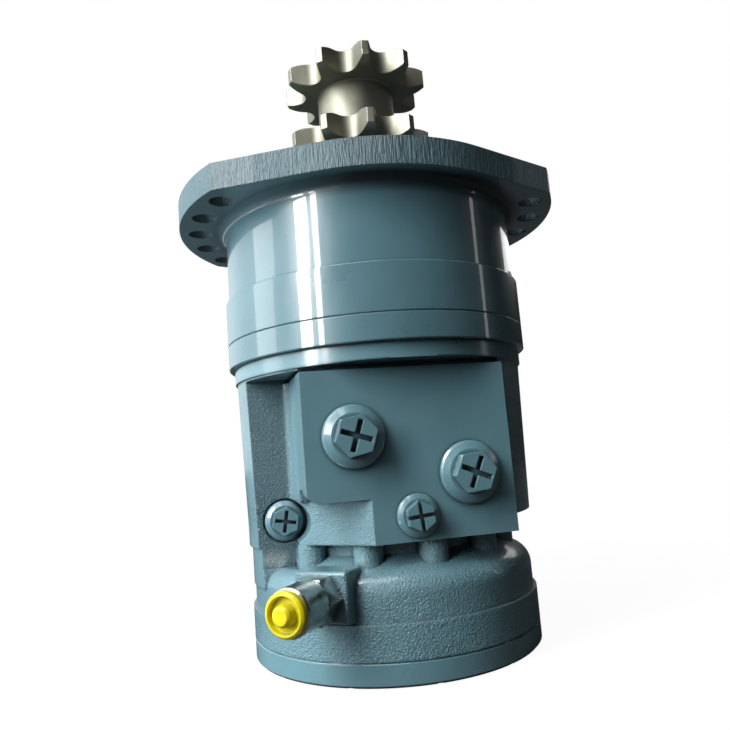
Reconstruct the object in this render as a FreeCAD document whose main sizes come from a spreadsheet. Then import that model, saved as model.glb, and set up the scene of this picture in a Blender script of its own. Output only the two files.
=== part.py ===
"""Radial piston hydraulic drive motor with a double chain sprocket, in millimetres.

The origin is the centre of the mounting face of the flange. +Z runs along the shaft towards
the sprocket, -Y is the side of the port block, and the flange's ears lie along X.
"""
import FreeCAD, Part
import Sketcher
import math
import os
from types import SimpleNamespace

SIZES = {
    # Mounting flange and the bearing housing that it belongs to
    "flange_thick": 19.0, "ear_radius": 147.5, "waist_radius": 128.0, "waist_angle": 25.2,
    "hole_circle_radius": 132.0, "hole_radius": 8.75, "hole_step_angle": 15.0,
    "pilot_radius": 75.0, "pilot_height": 28.0, "pilot_chamfer": 2.5,
    "drum_radius": 112.5, "drum_length": 58.0, "drum_fillet": 7.0,
    # Rings of the body, from the sprocket end to the rear
    "ring_radius": 115.0, "ring_chamfer": 0.6, "cam_length": 33.5, "rear_ring_length": 18.0,
    "rear_ring_bore": 85.0, "case_flange_radius": 110.8, "case_flange_length": 11.0,
    # Cam track
    "cam_mean_radius": 81.5, "cam_lift": 4.0, "cam_stock": 14.0,
    # Valve case: wall, neck and brake dome in one casting
    "wall_radius_top": 109.4, "wall_radius_foot": 106.5, "wall_length": 106.0,
    "neck_radius": 78.0, "neck_length": 18.3, "boss_circle_radius": 82.0, "boss_radius": 10.0,
    "boss_first_angle": 7.0, "skirt_radius": 104.4, "skirt_drop": 12.0,
    "dome_radius": 103.4, "dome_round": 14.0, "dome_side_length": 16.1, "dome_slope_angle": 25.0,
    "dome_foot_radius": 105.7, "dome_foot_length": 22.3, "brake_bore_radius": 90.0,
    "brake_bore_depth": 42.0, "valve_bore_radius": 57.0, "valve_bore_depth": 50.0,
    "shaft_bore_radius": 17.0, "cover_length": 14.5, "cover_radius": 105.6, "cover_chamfer": 1.5,
    "joint_chamfer": 0.7, "cover_spigot": 4.0,
    # Port block and the cast pocket beside it
    "block_front": 95.0, "block_left": 71.8, "block_right": 64.6, "block_draft": 2.6,
    "block_gap": 4.0, "block_length": 111.5, "block_corner_drop": 83.0,
    "block_corner_round": 8.0, "block_back": 30.0, "corner_start": 31.0, "corner_back": 54.0,
    "pocket_floor": 34.0, "pocket_length": 130.0, "pocket_wall": 12.0, "pocket_step": 4.0,
    "cast_round": 6.0, "boss_round": 2.0, "clear_reach": 140.0,
    # Ports in the block face: place across and below the mounting face, and plug sizes
    "port_a_across": 40.3, "port_a_down": 186.5, "port_b_across": 34.4, "port_b_down": 214.5,
    "port_c_across": 2.6, "port_c_down": 238.8, "port_d_across": 82.0, "port_d_down": 239.8,
    "main_plug_radius": 20.2, "main_hex": 24.0, "main_thread": 13.0,
    "small_plug_radius": 13.8, "small_hex": 17.0, "small_thread": 8.0,
    "main_collar": 6.5, "main_head": 8.0, "small_collar": 4.5, "small_head": 6.0,
    "main_slot": 3.3, "small_slot": 2.4, "port_a_turn": 71.5, "port_b_turn": 66.0,
    "port_c_turn": 95.0, "port_d_turn": 80.0,
    "thread_length": 14.0, "port_clearance": 0.05, "gallery_radius": 7.0,
    "spot_clearance": 1.4, "spot_depth": 1.5,
    # Drain fitting on its boss
    "drain_angle": 36.5, "drain_face": 112.4, "drain_half_width": 18.5, "drain_down": 283.0,
    "drain_half_height": 15.5, "fitting_hex": 27.0, "fitting_hex_length": 14.0,
    "fitting_radius": 14.2, "fitting_length": 37.5, "fitting_bore": 8.0, "fitting_thread": 11.0,
    "cap_radius": 12.9, "cap_length": 5.0, "cap_knob_radius": 6.5, "cap_knob_rise": 3.5,
    "drain_way_radius": 3.0, "drain_way_drop": 3.0, "drain_boss_length": 20.0, "cap_plug_length": 12.0,
    # Sprocket: ten teeth for 31.75 mm pitch chain
    "teeth": 10, "chain_pitch": 31.75, "roller_seat": 9.63, "tip_radius": 58.4,
    "flank_angle": 36.0, "wheel_width": 18.0, "row_pitch": 54.4, "hub_radius": 31.5,
    "sprocket_start": 31.0, "sprocket_end": 116.5, "hub_fillet": 0.8, "tip_relief": 3.2,
    "relief_start": 46.0,
    "tooth_angle": -2.05,
    # Output shaft
    "spline_radius": 22.0, "journal_radius": 30.0, "inner_seat_radius": 32.5,
    "shaft_tail_radius": 24.0, "shaft_tail_length": 28.0, "washer_radius": 27.0,
    "washer_thick": 6.0, "centre_bolt_radius": 8.0, "centre_bolt_head": 12.0,
    "centre_bolt_length": 40.0, "bolt_end_gap": 3.0,
    # Shaft seal and tapered roller bearings
    "seal_outer": 45.0, "seal_length": 12.0, "seal_depth": 2.0, "bearing_cover": 3.0,
    "outer_race_radius": 55.0, "outer_bearing_width": 30.0, "inner_race_radius": 60.0,
    "inner_bearing_width": 31.0, "housing_land": 50.0, "nut_radius": 45.0, "nut_thick": 8.0,
    "nut_margin": 1.0, "rollers": 16, "race_wall": 4.0, "running_gap": 0.05, "race_taper": 3.0,
    # Cylinder block, pistons and cam rollers
    "pistons": 8, "rotor_radius": 71.0, "rotor_length": 40.0, "rotor_gap": 1.5,
    "piston_radius": 13.0, "piston_clearance": 0.05, "piston_length": 33.0,
    "roller_radius": 7.5, "roller_length": 21.0, "roller_gap": 0.5,
    # Distributor, two-speed spool and brake
    "distributor_radius": 56.95, "face_gap": 0.05, "port_circle": 42.0, "port_hole": 4.5,
    "distributor_bore": 15.0,
    "spool_radius": 6.0, "spool_length": 34.0, "spool_bore_depth": 55.0,
    "brake_shaft_radius": 13.0, "brake_hub_radius": 36.0, "disc_outer": 82.0, "disc_inner": 40.0,
    "disc_thick": 2.5, "discs": 4, "brake_piston_thick": 9.0,
    "brake_piston_bore": 40.0, "hub_end_gap": 1.0,
    # Fasteners and static seals
    "body_bolts": 12, "body_bolt_circle": 98.5, "body_bolt_radius": 5.0, "body_head_radius": 8.0,
    "body_head_length": 10.0, "body_bolt_grip": 9.5, "head_recess": 1.0, "hole_clearance": 0.5,
    "body_key": 8.0, "cover_key": 5.0, "key_depth": 5.0,
    "cover_bolts": 12, "cover_bolt_circle": 97.5, "cover_bolt_radius": 4.0,
    "cover_head_radius": 6.5, "cover_head_length": 8.0, "cover_bolt_grip": 14.0,
    "cord_radius": 1.5, "groove_depth": 3.1, "seal_circle": 90.3, "cord_clearance": 0.2,
}


class Size:
    """A length or angle that carries its sheet expression along with its number."""

    def __init__(self, text, number):
        self.text = text
        self.number = float(number)

    def _join(self, sign, other, number):
        return Size("(%s %s %s)" % (self.text, sign, wrap(other).text), number)

    def __add__(self, other):
        return self._join("+", other, self.number + wrap(other).number)

    def __sub__(self, other):
        return self._join("-", other, self.number - wrap(other).number)

    def __mul__(self, other):
        return self._join("*", other, self.number * wrap(other).number)

    def __truediv__(self, other):
        return self._join("/", other, self.number / wrap(other).number)

    def __neg__(self):
        return Size("(0 - %s)" % self.text, -self.number)

    __radd__ = __add__

    def __rsub__(self, other):
        return wrap(other) - self


def wrap(value):
    return value if isinstance(value, Size) else Size(repr(float(value)), value)


def sin(angle):
    return Size("sin(%s)" % wrap(angle).text, math.sin(math.radians(wrap(angle).number)))


def cos(angle):
    return Size("cos(%s)" % wrap(angle).text, math.cos(math.radians(wrap(angle).number)))


def arccos(ratio):
    angle = math.degrees(math.acos(ratio.number))
    return Size("(acos(%s) / 1 deg)" % ratio.text, angle)


doc = FreeCAD.newDocument("DriveMotor")
sheet = doc.addObject("Spreadsheet::Sheet", "Sheet")
for row, (alias, number) in enumerate(SIZES.items(), start=1):
    sheet.set("A%d" % row, alias.replace("_", " "))
    sheet.set("B%d" % row, str(number))
    sheet.setAlias("B%d" % row, alias)
doc.recompute()
d = SimpleNamespace(**{alias: Size("Sheet." + alias, number) for alias, number in SIZES.items()})
TURN = 360.0
parts = []


def new_body(label):
    """A piece of its own, which is also its node."""
    body = doc.addObject("PartDesign::Body", "Body_" + label)
    body.Label = label
    parts.append(body)
    return body


def origin_plane(body, role):
    return next(feature for feature in body.Origin.OriginFeatures if feature.Role == role)


def new_sketch(body, role, offset=None):
    sketch = body.newObject("Sketcher::SketchObject", "Sketch")
    sketch.AttachmentSupport = [(origin_plane(body, role), "")]
    sketch.MapMode = "FlatFace"
    if offset is not None:
        sketch.AttachmentOffset = FreeCAD.Placement(FreeCAD.Vector(0, 0, offset.number),
                                                    FreeCAD.Rotation())
        sketch.setExpression("AttachmentOffset.Base.z", offset.text)
    return sketch


def bind(sketch, kind, geometry, point, value):
    """Hold one coordinate of a point, measured from the sketch's origin."""
    value = wrap(value)
    index = sketch.addConstraint(Sketcher.Constraint(kind, -1, 1, geometry, point, value.number))
    sketch.setExpression("Constraints[%d]" % index, value.text)


def outline(sketch, points):
    """A closed outline. A point is (x, y), or (x, y, cx, cy) where an arc about (cx, cy) ends."""
    vectors = [FreeCAD.Vector(wrap(p[0]).number, wrap(p[1]).number, 0) for p in points]
    count = len(points)
    first = sketch.GeometryCount
    for i in range(count):
        start, end, target = vectors[i], vectors[(i + 1) % count], points[(i + 1) % count]
        if len(target) == 2:
            sketch.addGeometry(Part.LineSegment(start, end), False)
            continue
        centre = FreeCAD.Vector(wrap(target[2]).number, wrap(target[3]).number, 0)
        a0 = math.atan2(start.y - centre.y, start.x - centre.x)
        a1 = math.atan2(end.y - centre.y, end.x - centre.x)
        sweep = (a1 - a0) % (2 * math.pi)
        circle = Part.Circle(centre, FreeCAD.Vector(0, 0, 1), (start - centre).Length)
        if sweep > math.pi:
            a0, a1 = a1, a0
        sketch.addGeometry(Part.ArcOfCircle(circle, a0, a1), False)
    for i in range(count):
        follows = (i + 1) % count
        ends = arc_ends(sketch, first + i, vectors[i])
        starts = arc_ends(sketch, first + follows, vectors[follows])
        sketch.addConstraint(Sketcher.Constraint("Coincident", first + i, ends[1],
                                                 first + follows, starts[0]))
    for i, point in enumerate(points):
        geometry = first + i
        here = arc_ends(sketch, geometry, vectors[i])[0]
        if len(point) == 2:
            bind(sketch, "DistanceX", geometry, here, point[0])
            bind(sketch, "DistanceY", geometry, here, point[1])
            continue
        bind(sketch, "DistanceX", first + (i - 1) % count, 3, point[2])
        bind(sketch, "DistanceY", first + (i - 1) % count, 3, point[3])
        offset_x = abs(vectors[i].x - wrap(point[2]).number)
        offset_y = abs(vectors[i].y - wrap(point[3]).number)
        if offset_y > offset_x:
            bind(sketch, "DistanceX", geometry, here, point[0])
        else:
            bind(sketch, "DistanceY", geometry, here, point[1])


def arc_ends(sketch, index, start):
    """Point numbers of the end that lies at start, and of the other one."""
    near = (sketch.getPoint(index, 1) - start).Length
    far = (sketch.getPoint(index, 2) - start).Length
    return (1, 2) if near <= far else (2, 1)


def circle(sketch, x, y, radius):
    centre = FreeCAD.Vector(wrap(x).number, wrap(y).number, 0)
    index = sketch.addGeometry(Part.Circle(centre, FreeCAD.Vector(0, 0, 1),
                                           wrap(radius).number), False)
    bind(sketch, "DistanceX", index, 3, x)
    bind(sketch, "DistanceY", index, 3, y)
    held = sketch.addConstraint(Sketcher.Constraint("Radius", index, wrap(radius).number))
    sketch.setExpression("Constraints[%d]" % held, wrap(radius).text)


def hexagon(sketch, across_flats, x=0.0, y=0.0):
    reach = across_flats / 2.0 / cos(30.0)
    outline(sketch, [(reach * cos(60.0 * i) + x, reach * sin(60.0 * i) + y) for i in range(6)])


def turn(body, points, cut=False):
    """Revolve a half section, given as radius and height, about Z."""
    sketch = new_sketch(body, "XZ_Plane")
    outline(sketch, points)
    kind = "PartDesign::Groove" if cut else "PartDesign::Revolution"
    feature = body.newObject(kind, "Turned")
    feature.Profile = sketch
    feature.ReferenceAxis = (sketch, ["V_Axis"])
    feature.Angle = TURN
    return feature


def raise_pad(body, low, high, draw):
    """Add material between two heights, over the outline that draw puts in the sketch."""
    sketch = new_sketch(body, "XY_Plane", wrap(low))
    draw(sketch)
    feature = body.newObject("PartDesign::Pad", "Raised")
    feature.Profile = sketch
    feature.Length = (wrap(high) - low).number
    feature.setExpression("Length", (wrap(high) - low).text)
    return feature


def sink_pocket(body, high, low, draw):
    """Take material away between two heights."""
    sketch = new_sketch(body, "XY_Plane", wrap(high))
    draw(sketch)
    feature = body.newObject("PartDesign::Pocket", "Sunk")
    feature.Profile = sketch
    feature.Length = (wrap(high) - low).number
    feature.setExpression("Length", (wrap(high) - low).text)
    return feature


def sink_y(body, front, back, draw):
    """Take material away along +Y, from the plane y = front to the plane y = back."""
    sketch = new_sketch(body, "XZ_Plane", -wrap(front))
    draw(sketch)
    feature = body.newObject("PartDesign::Pocket", "SunkBack")
    feature.Profile = sketch
    feature.Length = (wrap(back) - front).number
    feature.setExpression("Length", (wrap(back) - front).text)
    return feature


def bore_y(body, x, z, front, back, radius):
    """Drill along +Y."""
    return sink_y(body, front, back, lambda sketch: circle(sketch, x, z, radius))


def around(body, features, count):
    """Repeat features evenly about Z."""
    pattern = body.newObject("PartDesign::PolarPattern", "Around")
    pattern.Originals = features
    pattern.Axis = (origin_plane(body, "Z_Axis"), [""])
    pattern.Angle = TURN
    pattern.Occurrences = int(count.number)
    pattern.setExpression("Occurrences", count.text)
    body.Tip = pattern
    return pattern


def round_edges(body, radius, middles):
    """Round the edges whose middles lie nearest to the given points."""
    doc.recompute()
    base_feature = body.Tip
    edges = base_feature.Shape.Edges
    names = []
    for middle in middles:
        spot = FreeCAD.Vector(*(wrap(value).number for value in middle))
        nearest = min(range(len(edges)), key=lambda i: (edges[i].CenterOfMass - spot).Length)
        names.append("Edge%d" % (nearest + 1))
    feature = body.newObject("PartDesign::Fillet", "Rounded")
    feature.Base = (base_feature, names)
    feature.Radius = radius.number
    feature.setExpression("Radius", radius.text)
    return feature


def place(body, x, y, z, axis, angle):
    """Put a piece that is drawn about its own axis where it belongs."""
    body.Placement = FreeCAD.Placement(
        FreeCAD.Vector(wrap(x).number, wrap(y).number, wrap(z).number),
        FreeCAD.Rotation(FreeCAD.Vector(*axis), wrap(angle).number))
    for name, value in (("x", x), ("y", y), ("z", z)):
        body.setExpression("Placement.Base.%s" % name, wrap(value).text)


def polar(radius, angle):
    """A point at an angle from -Y, counted towards +X."""
    return wrap(radius) * sin(angle), -(wrap(radius) * cos(angle))


# Heights of the joints between the pieces, from the mounting face at 0
flange_back = -d.flange_thick
cam_top = flange_back - d.drum_length
cam_back = cam_top - d.cam_length
case_top = cam_back - d.rear_ring_length
case_flange_back = case_top - d.case_flange_length
wall_foot = case_flange_back - d.wall_length
dome_top = wall_foot - d.neck_length
slope_run = d.dome_radius - d.dome_round + d.dome_round * cos(90.0 - d.dome_slope_angle)
round_top = dome_top - (slope_run - d.neck_radius) * (sin(d.dome_slope_angle) / cos(d.dome_slope_angle))
round_start = round_top - d.dome_round * cos(d.dome_slope_angle)
dome_ledge = round_start - d.dome_side_length
cover_top = dome_ledge - d.dome_foot_length
base = cover_top - d.cover_length
block_top = case_flange_back - d.block_gap
block_foot = block_top - d.block_length
seal_top = d.pilot_height - d.seal_depth
seal_foot = seal_top - d.seal_length
outer_top = seal_foot - d.bearing_cover
outer_foot = outer_top - d.outer_bearing_width
nut_foot = cam_top + d.nut_margin
nut_top = nut_foot + d.nut_thick
inner_top = nut_top + d.inner_bearing_width
rotor_top = cam_top - d.rotor_gap
rotor_foot = rotor_top - d.rotor_length
shaft_foot = rotor_top - d.shaft_tail_length
piston_level = cam_top - d.cam_length / 2.0
distributor_top = rotor_foot - d.face_gap
valve_bore_foot = case_top - d.valve_bore_depth
distributor_foot = valve_bore_foot + d.face_gap
brake_roof = cover_top + d.brake_bore_depth


def bolt_centres(circle_radius):
    return polar(circle_radius, 15.0 + d.boss_first_angle)


def long_hole(sketch):
    circle(sketch, *bolt_centres(d.body_bolt_circle), d.body_bolt_radius + d.hole_clearance)


# Bearing housing: the mounting flange, the pilot hub and the drum in one casting
housing = new_body("bearing_housing")


def flange_outline(sketch):
    corner = d.waist_angle + arccos(d.waist_radius / d.ear_radius)
    points = []
    for side in (1, -1):
        tangent_x, tangent_y = polar(d.waist_radius, d.waist_angle)
        corner_x, corner_y = polar(d.ear_radius, corner)
        points += [(tangent_x * side, tangent_y * side, 0.0, 0.0),
                   (corner_x * side, corner_y * side),
                   (corner_x * side, corner_y * -side, 0.0, 0.0),
                   (tangent_x * side, tangent_y * -side)]
    outline(sketch, points)


raise_pad(housing, flange_back, 0.0, flange_outline)
turn(housing, [
    (d.housing_land, cam_top), (d.drum_radius, cam_top), (d.drum_radius, flange_back - d.drum_fillet),
    (d.drum_radius + d.drum_fillet, flange_back, d.drum_radius + d.drum_fillet,
     flange_back - d.drum_fillet),
    (d.drum_radius, 0.0), (d.pilot_radius, 0.0),
    (d.pilot_radius, d.pilot_height - d.pilot_chamfer),
    (d.pilot_radius - d.pilot_chamfer, d.pilot_height), (d.housing_land, d.pilot_height)])
turn(housing, [
    (0.0, cam_top - 1.0), (d.inner_race_radius, cam_top - 1.0), (d.inner_race_radius, inner_top),
    (d.housing_land, inner_top), (d.housing_land, outer_foot), (d.outer_race_radius, outer_foot),
    (d.outer_race_radius, outer_top), (d.seal_outer, outer_top),
    (d.seal_outer, d.pilot_height + 1.0), (0.0, d.pilot_height + 1.0)], cut=True)
for ear in (90.0, 270.0):
    for step in range(-2, 3):
        hole_x, hole_y = polar(d.hole_circle_radius, d.hole_step_angle * step + ear)
        sink_pocket(housing, 1.0, flange_back - 1.0,
                    lambda sketch: circle(sketch, hole_x, hole_y, d.hole_radius))
counterbore = d.body_head_length + d.head_recess
around(housing, [
    sink_pocket(housing, 1.0, cam_top - 1.0, long_hole),
    sink_pocket(housing, 1.0, -counterbore, lambda sketch: circle(
        sketch, *bolt_centres(d.body_bolt_circle), d.body_head_radius + d.hole_clearance))],
    d.body_bolts)


def cord_groove(body, face):
    """A square groove for a sealing cord, cut up into the lower face of a piece."""
    half_width = d.cord_radius + d.cord_clearance
    turn(body, [(d.seal_circle - half_width, face - 1.0), (d.seal_circle + half_width, face - 1.0),
                (d.seal_circle + half_width, face + d.groove_depth),
                (d.seal_circle - half_width, face + d.groove_depth)], cut=True)


cord_groove(housing, cam_top)


def ring(label, top, foot, outer, inner, chamfer):
    """A machined ring with broken outer edges and the long bolts' holes."""
    body = new_body(label)
    turn(body, [(inner, foot), (outer - chamfer, foot), (outer, foot + chamfer),
                (outer, top - chamfer), (outer - chamfer, top), (inner, top)])
    return body


# Cam ring: six lobes round its inside drive the pistons' rollers
cam = ring("cam_ring", cam_top, cam_back, d.ring_radius, d.cam_mean_radius - d.cam_stock,
           d.ring_chamfer)
LOBES = 6
STEPS = 5


def cam_track(sketch):
    """A periodic spline through points of the lobed track."""
    points = []
    for index in range(LOBES * STEPS):
        angle = TURN * index / (LOBES * STEPS)
        radius = d.cam_mean_radius.number + d.cam_lift.number * math.cos(math.radians(LOBES * angle))
        points.append(FreeCAD.Vector(radius * math.cos(math.radians(angle)),
                                     radius * math.sin(math.radians(angle)), 0))
    curve = Part.BSplineCurve()
    curve.interpolate(Points=points, PeriodicFlag=True)
    sketch.addGeometry(curve, False)


sink_pocket(cam, cam_top + 1.0, cam_back - 1.0, cam_track)
around(cam, [sink_pocket(cam, cam_top + 1.0, cam_back - 1.0, long_hole)], d.body_bolts)

# Rear ring: closes the cam chamber behind the cam ring
rear = ring("rear_ring", cam_back, case_top, d.ring_radius, d.rear_ring_bore, d.ring_chamfer)
around(rear, [sink_pocket(rear, cam_back + 1.0, case_top - 1.0, long_hole)], d.body_bolts)
cord_groove(cam, cam_back)
cord_groove(rear, case_top)

# Valve case: one casting with the port block in front and the brake dome behind
case = new_body("valve_case")
dome_centre = d.dome_radius - d.dome_round
turn(case, [
    (d.brake_bore_radius, cover_top), (d.dome_foot_radius - d.joint_chamfer, cover_top),
    (d.dome_foot_radius, cover_top + d.joint_chamfer),
    (d.dome_foot_radius, dome_ledge), (d.dome_radius, dome_ledge), (d.dome_radius, round_start),
    (slope_run, round_top, dome_centre, round_start), (d.neck_radius, dome_top),
    (d.neck_radius, wall_foot), (d.wall_radius_foot, wall_foot),
    (d.wall_radius_top, case_flange_back), (d.case_flange_radius, case_flange_back),
    (d.case_flange_radius, case_top), (d.valve_bore_radius, case_top),
    (d.valve_bore_radius, valve_bore_foot), (d.shaft_bore_radius, valve_bore_foot),
    (d.shaft_bore_radius, brake_roof), (d.brake_bore_radius, brake_roof)])
boss = raise_pad(case, dome_top - 8.0, wall_foot + 2.0, lambda sketch: circle(
    sketch, *polar(d.boss_circle_radius, d.boss_first_angle), d.boss_radius))
around(case, [boss], wrap(12))


def skirt(sketch, radius):
    """A sector on the -X side that carries the wall down to the dome."""
    low_x, low_y = polar(radius, -70.0)
    high_x, high_y = polar(radius, -125.0)
    outline(sketch, [(-d.neck_radius + 6.0, low_y), (-d.neck_radius + 6.0, high_y),
                     (high_x, high_y), (low_x, low_y, 0.0, 0.0)])


raise_pad(case, wall_foot - d.skirt_drop, wall_foot + 1.0,
          lambda sketch: skirt(sketch, d.wall_radius_foot))
raise_pad(case, round_start, wall_foot, lambda sketch: skirt(sketch, d.skirt_radius))


def corner_box(left, front, right, back):
    """An outline between two x and two y values, as a function that draws it."""
    return lambda sketch: outline(sketch, [(left, front), (right, front), (right, back),
                                           (left, back)])


reach = d.clear_reach
pocket_top = case_flange_back - 1.5
pocket_foot = pocket_top - d.pocket_length
sink_pocket(case, pocket_top, block_foot,
            corner_box(-reach, -reach, -d.block_left + d.pocket_wall, -d.pocket_floor))
sink_pocket(case, block_foot, pocket_foot,
            corner_box(-reach, -reach, -d.block_left - d.pocket_step, -d.pocket_floor))
sink_pocket(case, case_flange_back, wall_foot - 1.0,
            corner_box(-d.block_left - d.pocket_step, -reach, d.block_right, -d.block_front))
sink_pocket(case, case_flange_back, block_top,
            corner_box(-d.block_left, -reach, d.block_right, -d.block_front + d.pocket_wall))
block_mid = block_top - d.block_corner_drop
block_back = -d.block_back
sink_pocket(case, block_mid, wall_foot - 1.0, lambda sketch: outline(sketch, [
    (-reach, -reach), (-d.corner_start, -reach), (-d.corner_start, -d.block_front),
    (-d.block_left - d.block_draft, -d.corner_back), (-reach, -d.corner_back)]))
raise_pad(case, block_mid, block_top, lambda sketch: outline(sketch, [
    (-d.block_left, -d.block_front), (d.block_right, -d.block_front), (d.block_right, block_back),
    (-d.block_left - d.block_draft, block_back)]))
raise_pad(case, block_foot, block_mid, lambda sketch: outline(sketch, [
    (-d.corner_start, -d.block_front), (d.block_right, -d.block_front),
    (d.block_right, block_back), (-d.block_left - d.block_draft, block_back),
    (-d.block_left - d.block_draft, -d.corner_back)]))


def rounded_corner(sketch):
    """What is milled off the upper block's lower left corner."""
    far, inner = -d.block_left - d.block_draft - 1.0, -d.block_left + d.block_corner_round
    level = block_mid + d.block_corner_round
    outline(sketch, [(far, block_mid - 0.5), (inner, block_mid - 0.5), (inner, block_mid),
                     (-d.block_left, level, inner, level), (far, level)])


sink_y(case, -d.block_front - 1.0, -d.corner_back - 8.0, rounded_corner)


def drain_sketch(body, distance):
    """A sketch square to the drain boss's axis, at a distance from the main axis."""
    sketch = new_sketch(body, "XZ_Plane")
    across, out = distance * -sin(d.drain_angle), distance * cos(d.drain_angle)
    sketch.AttachmentOffset = FreeCAD.Placement(
        FreeCAD.Vector(across.number, 0, out.number),
        FreeCAD.Rotation(FreeCAD.Vector(0, -1, 0), d.drain_angle.number))
    sketch.setExpression("AttachmentOffset.Base.x", across.text)
    sketch.setExpression("AttachmentOffset.Base.z", out.text)
    return sketch


drain_boss = drain_sketch(case, d.drain_face)
outline(drain_boss, [(-d.drain_half_width, -d.drain_down - d.drain_half_height),
                     (d.drain_half_width, -d.drain_down - d.drain_half_height),
                     (d.drain_half_width, -d.drain_down + d.drain_half_height),
                     (-d.drain_half_width, -d.drain_down + d.drain_half_height)])
boss_pad = case.newObject("PartDesign::Pad", "DrainBoss")
boss_pad.Profile = drain_boss
boss_pad.Length = d.drain_boss_length.number
boss_pad.setExpression("Length", d.drain_boss_length.text)
boss_pad.Reversed = True
drain_hole = drain_sketch(case, d.drain_face)
circle(drain_hole, 0.0, -d.drain_down, d.fitting_thread + d.port_clearance)
drain_bore = case.newObject("PartDesign::Pocket", "DrainBore")
drain_bore.Profile = drain_hole
drain_bore.Length = d.thread_length.number + 1.0
drain_bore.setExpression("Length", (d.thread_length + 1.0).text)
drain_way = drain_sketch(case, d.drain_face)
circle(drain_way, 0.0, -d.drain_down - d.drain_way_drop, d.drain_way_radius)
drain_passage = case.newObject("PartDesign::Pocket", "DrainWay")
drain_passage.Profile = drain_way
drain_passage.Length = d.drain_face.number - d.brake_bore_radius.number + 2.0
drain_passage.setExpression("Length", (d.drain_face - d.brake_bore_radius + 2.0).text)

MAIN = (d.main_plug_radius, d.main_hex, d.main_thread, d.main_collar, d.main_head, d.main_slot)
SMALL = (d.small_plug_radius, d.small_hex, d.small_thread, d.small_collar, d.small_head,
         d.small_slot)
PORTS = {"port_plug_a": (-d.port_a_across, -d.port_a_down, -d.block_front, MAIN, d.port_a_turn),
         "port_plug_b": (d.port_b_across, -d.port_b_down, -d.block_front, MAIN, d.port_b_turn),
         "gauge_plug": (-d.port_c_across, -d.port_c_down, -d.block_front, SMALL, d.port_c_turn),
         "bleed_plug": (-d.port_d_across, -d.port_d_down, -d.pocket_floor, SMALL, d.port_d_turn)}
turn(case, [(0.0, valve_bore_foot), (d.valve_bore_radius, valve_bore_foot),
            (d.valve_bore_radius, case_top + 1.0), (0.0, case_top + 1.0)], cut=True)
turn(case, [(0.0, cover_top - 1.0), (d.brake_bore_radius, cover_top - 1.0),
            (d.brake_bore_radius, brake_roof), (0.0, brake_roof)], cut=True)
gallery_y = -d.pocket_floor
bore_y(case, -d.port_d_across, -d.port_d_down, -reach, -d.pocket_floor + d.spot_depth,
       d.small_plug_radius + d.spot_clearance)
for across, level, face, kind, turned in PORTS.values():
    bore_y(case, across, level, face - 1.0, face + d.thread_length + 2.0,
           kind[2] + d.port_clearance)
    if kind is MAIN:
        bore_y(case, across, level, face, gallery_y, d.gallery_radius)
        sink_pocket(case, valve_bore_foot + 1.0, level, lambda sketch: circle(
            sketch, across, gallery_y, d.gallery_radius - 2.0))
spool_back = -d.block_front + d.spool_bore_depth
bore_y(case, -d.port_c_across, -d.port_c_down, -d.block_front, spool_back,
       d.spool_radius + d.port_clearance)
around(case, [sink_pocket(case, case_top + 1.0, case_top - d.body_bolt_grip, lambda sketch: circle(
    sketch, *bolt_centres(d.body_bolt_circle), d.body_bolt_radius))], d.body_bolts)


def on_boss(distance, aside, level):
    """A point of the drain boss, given along and across its axis."""
    return (distance * -sin(d.drain_angle) + aside * cos(d.drain_angle),
            distance * -cos(d.drain_angle) - aside * sin(d.drain_angle), level)


boss_top = -d.drain_down + d.drain_half_height
boss_side = d.drain_half_width
round_edges(case, d.cast_round, [
    (-d.block_left - d.block_draft, -d.pocket_floor, (block_top + block_mid) / 2.0)])
round_edges(case, d.boss_round, [
    on_boss(d.drain_face, boss_side, -d.drain_down),
    on_boss(d.drain_face, -boss_side, -d.drain_down), on_boss(d.drain_face, wrap(0.0), boss_top),
    on_boss(d.drain_face, wrap(0.0), -d.drain_down - d.drain_half_height),
    on_boss(d.drain_face - 10.0, boss_side, boss_top),
    on_boss(d.drain_face - 10.0, -boss_side, boss_top)])


def cover_centres():
    return polar(d.cover_bolt_circle, 0.0)


around(case, [sink_pocket(case, cover_top + d.cover_bolt_grip, cover_top - 1.0,
                          lambda sketch: circle(sketch, *cover_centres(), d.cover_bolt_radius))],
       d.cover_bolts)

# End cover: a turned plate whose spigot closes the brake chamber
cover = new_body("end_cover")
spigot_radius = d.brake_bore_radius - d.port_clearance
spigot_top = cover_top + d.cover_spigot
turn(cover, [(0.0, base), (d.cover_radius - d.cover_chamfer, base),
             (d.cover_radius, base + d.cover_chamfer),
             (d.cover_radius, cover_top - d.joint_chamfer),
             (d.cover_radius - d.joint_chamfer, cover_top),
             (spigot_radius, cover_top), (spigot_radius, spigot_top), (0.0, spigot_top)])
head_seat = base + d.cover_head_length + d.head_recess
around(cover, [
    sink_pocket(cover, cover_top + 1.0, base - 1.0, lambda sketch: circle(
        sketch, *cover_centres(), d.cover_bolt_radius + d.hole_clearance)),
    sink_pocket(cover, head_seat, base - 1.0, lambda sketch: circle(
        sketch, *cover_centres(), d.cover_head_radius + d.hole_clearance))], d.cover_bolts)


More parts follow.
